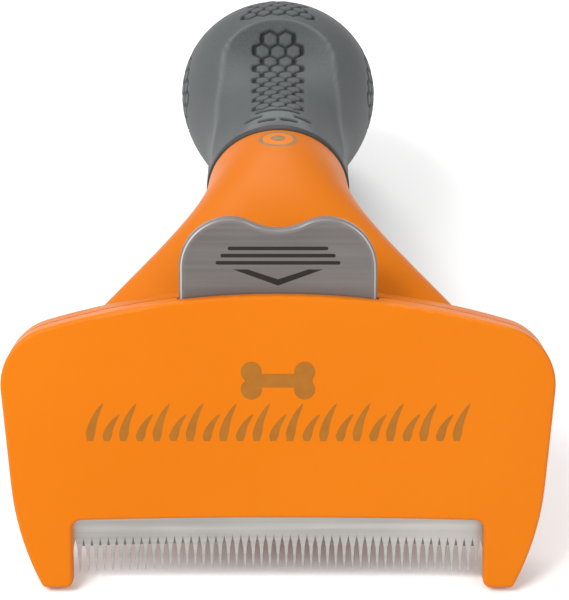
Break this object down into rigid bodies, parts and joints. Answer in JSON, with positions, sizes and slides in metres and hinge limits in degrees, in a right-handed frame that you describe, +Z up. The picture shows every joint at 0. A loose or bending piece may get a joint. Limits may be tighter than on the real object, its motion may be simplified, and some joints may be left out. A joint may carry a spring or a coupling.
{
  "type": "deshedding tool",
  "caption": "Pet deshedding comb: a steel comb blade in a leaning orange head, a sprung thumb button that ejects fur, and a rubber grip.",
  "frame": {"origin": "middle of the footprint, on the table the tool stands on", "axes": "+X across the head, +Y from the head back along the handle, +Z up"},
  "size_m": [0.092, 0.153, 0.0564],
  "materials": {
    "orange_shell": "satin",
    "badge": "satin",
    "blade_steel": "brushed",
    "plain_steel": "satin",
    "screw_steel": "satin",
    "spring_steel": "satin",
    "bumper_rubber": "matte",
    "button_grey": "satin",
    "button_plate": "brushed",
    "carrier_plastic": "satin",
    "collar_plastic": "satin",
    "core_plastic": "matte",
    "grip_rubber": "matte",
    "cap_plastic": "satin"
  },
  "bodies": {
    "tool": {"front_cover": "orange_shell", "rear_housing": "orange_shell", "neck_badge": "badge", "blade": "blade_steel", "blade_clamp": "plain_steel", "blade_screws": "screw_steel", "cover_screws": "screw_steel", "guide_pin_left": "plain_steel", "guide_pin_right": "plain_steel", "return_spring_left": "spring_steel", "return_spring_right": "spring_steel", "travel_bumpers": "bumper_rubber", "collar_ring": "collar_plastic", "grip_core": "core_plastic", "grip_overmold": "grip_rubber", "butt_cap": "cap_plastic", "core_screw": "screw_steel"},
    "ejector": {"ejector_button": "button_grey", "button_label_plate": "button_plate", "slider_carrier": "carrier_plastic", "ejector_plate": "plain_steel", "ejector_rivets": "screw_steel", "button_screws": "screw_steel"}
  },
  "joints": [
    {"name": "ejector_slide", "type": "slide", "parent": "tool", "child": "ejector", "axis": [0, -0.4226, -0.9063], "range_m": [0, 0.005], "stiffness_N_per_m": 1000, "springref_m": -0.003, "deforming": ["return_spring_left", "return_spring_right"]}
  ]
}
